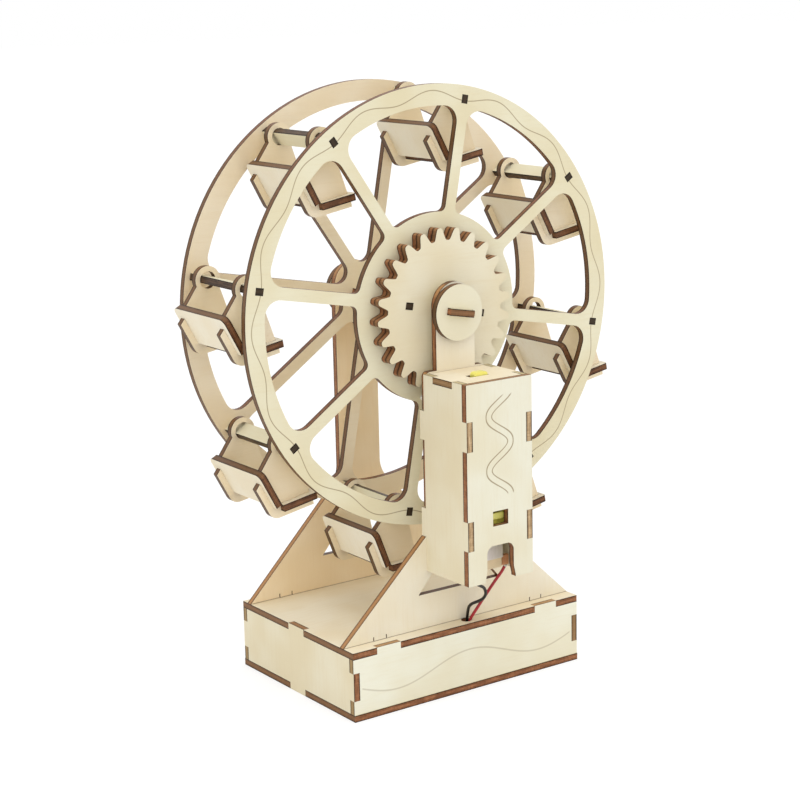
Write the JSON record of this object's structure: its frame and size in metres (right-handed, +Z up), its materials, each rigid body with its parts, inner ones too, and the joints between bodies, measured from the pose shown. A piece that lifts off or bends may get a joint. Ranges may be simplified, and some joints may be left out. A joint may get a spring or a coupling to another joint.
{
  "type": "wooden ferris wheel kit",
  "caption": "Small motor driven ferris wheel of laser cut plywood: geared wheel between two supports, hanging gondolas, motor tower and box base.",
  "frame": {"origin": "middle of the underside of the base's bottom plate, where it rests on a table", "axes": "+Z up; +X along the base's front, to the right as seen from the motor tower's side; -Y out of the front, where the motor tower stands; +Y to the back"},
  "size_m": [0.1674, 0.0937, 0.2151],
  "materials": {
    "birch_ply": "pale laser cut plywood, brown at its cut edges",
    "yellow_plastic": "moulded",
    "can_steel": "plain",
    "cream_plastic": "moulded",
    "terminal_brass": "plain",
    "red_insulation": "smooth",
    "black_insulation": "smooth",
    "black_plastic": "moulded",
    "cell_wrap": "plain wrap",
    "contact_steel": "plain",
    "slider_plastic": "moulded",
    "white_plastic": "moulded"
  },
  "bodies": {
    "stand": {"base_bottom": "birch_ply", "base_top": "birch_ply", "base_front_wall": "birch_ply", "base_back_wall": "birch_ply", "base_left_wall": "birch_ply", "base_right_wall": "birch_ply", "front_support": "birch_ply", "rear_support": "birch_ply", "tower_front": "birch_ply", "tower_left": "birch_ply", "tower_right": "birch_ply", "tower_top": "birch_ply", "motor_gearbox": "yellow_plastic", "motor_can": "can_steel", "motor_end_cap": "cream_plastic", "motor_terminals": "terminal_brass", "red_wire": "red_insulation", "black_wire": "black_insulation", "battery_box": "black_plastic", "battery_lid": "black_plastic", "battery_cells": "cell_wrap", "battery_contacts": "contact_steel", "switch_body": "black_plastic"},
    "wheel": {"front_rim": "birch_ply", "rear_rim": "birch_ply", "gear_front_layer": "birch_ply", "gear_rear_layer": "birch_ply", "gear_pins": "birch_ply", "axle": "birch_ply", "front_cap": "birch_ply", "rear_cap": "birch_ply", "rear_spacer": "birch_ply", "crossbars": "birch_ply"},
    "drive": {"motor_shaft": "white_plastic", "drive_pinion": "white_plastic"},
    "switch": {"switch_slider": "slider_plastic"},
    "gondola_1": {"gondola_1_sides": "birch_ply", "gondola_1_back": "birch_ply", "gondola_1_seat": "birch_ply"},
    "gondola_2": {"gondola_2_sides": "birch_ply", "gondola_2_back": "birch_ply", "gondola_2_seat": "birch_ply"},
    "gondola_3": {"gondola_3_sides": "birch_ply", "gondola_3_back": "birch_ply", "gondola_3_seat": "birch_ply"},
    "gondola_4": {"gondola_4_sides": "birch_ply", "gondola_4_back": "birch_ply", "gondola_4_seat": "birch_ply"},
    "gondola_5": {"gondola_5_sides": "birch_ply", "gondola_5_back": "birch_ply", "gondola_5_seat": "birch_ply"},
    "gondola_6": {"gondola_6_sides": "birch_ply", "gondola_6_back": "birch_ply", "gondola_6_seat": "birch_ply"},
    "gondola_7": {"gondola_7_sides": "birch_ply", "gondola_7_back": "birch_ply", "gondola_7_seat": "birch_ply"},
    "gondola_8": {"gondola_8_sides": "birch_ply", "gondola_8_back": "birch_ply", "gondola_8_seat": "birch_ply"}
  },
  "joints": [
    {"name": "wheel_spin", "type": "hinge", "parent": "stand", "child": "wheel", "pos_m": [0, 0, 0.1372], "axis": [0, 1, 0], "continuous": true},
    {"name": "shaft_spin", "type": "hinge", "parent": "stand", "child": "drive", "pos_m": [0, 0, 0.1039], "axis": [0, 1, 0], "continuous": true},
    {"name": "switch_slide", "type": "slide", "parent": "stand", "child": "switch", "axis": [1, 0, 0], "range_m": [0, 0.003]},
    {"name": "gondola_1_swing", "type": "hinge", "parent": "wheel", "child": "gondola_1", "pos_m": [0.07193, 0.00165, 0.12361], "axis": [0, 1, 0], "continuous": true},
    {"name": "gondola_2_swing", "type": "hinge", "parent": "wheel", "child": "gondola_2", "pos_m": [0.06047, 0.00165, 0.17845], "axis": [0, 1, 0], "continuous": true},
    {"name": "gondola_3_swing", "type": "hinge", "parent": "wheel", "child": "gondola_3", "pos_m": [0.01359, 0.00165, 0.20913], "axis": [0, 1, 0], "continuous": true},
    {"name": "gondola_4_swing", "type": "hinge", "parent": "wheel", "child": "gondola_4", "pos_m": [-0.04125, 0.00165, 0.19767], "axis": [0, 1, 0], "continuous": true},
    {"name": "gondola_5_swing", "type": "hinge", "parent": "wheel", "child": "gondola_5", "pos_m": [-0.07193, 0.00165, 0.15079], "axis": [0, 1, 0], "continuous": true},
    {"name": "gondola_6_swing", "type": "hinge", "parent": "wheel", "child": "gondola_6", "pos_m": [-0.06047, 0.00165, 0.09595], "axis": [0, 1, 0], "continuous": true},
    {"name": "gondola_7_swing", "type": "hinge", "parent": "wheel", "child": "gondola_7", "pos_m": [-0.01359, 0.00165, 0.06527], "axis": [0, 1, 0], "continuous": true},
    {"name": "gondola_8_swing", "type": "hinge", "parent": "wheel", "child": "gondola_8", "pos_m": [0.04125, 0.00165, 0.07673], "axis": [0, 1, 0], "continuous": true}
  ],
  "couplings": [
    {"joint": "shaft_spin", "follows": "wheel_spin", "ratio": -4},
    {"joint": "gondola_1_swing", "follows": "wheel_spin", "ratio": -1},
    {"joint": "gondola_2_swing", "follows": "wheel_spin", "ratio": -1},
    {"joint": "gondola_3_swing", "follows": "wheel_spin", "ratio": -1},
    {"joint": "gondola_4_swing", "follows": "wheel_spin", "ratio": -1},
    {"joint": "gondola_5_swing", "follows": "wheel_spin", "ratio": -1},
    {"joint": "gondola_6_swing", "follows": "wheel_spin", "ratio": -1},
    {"joint": "gondola_7_swing", "follows": "wheel_spin", "ratio": -1},
    {"joint": "gondola_8_swing", "follows": "wheel_spin", "ratio": -1}
  ]
}
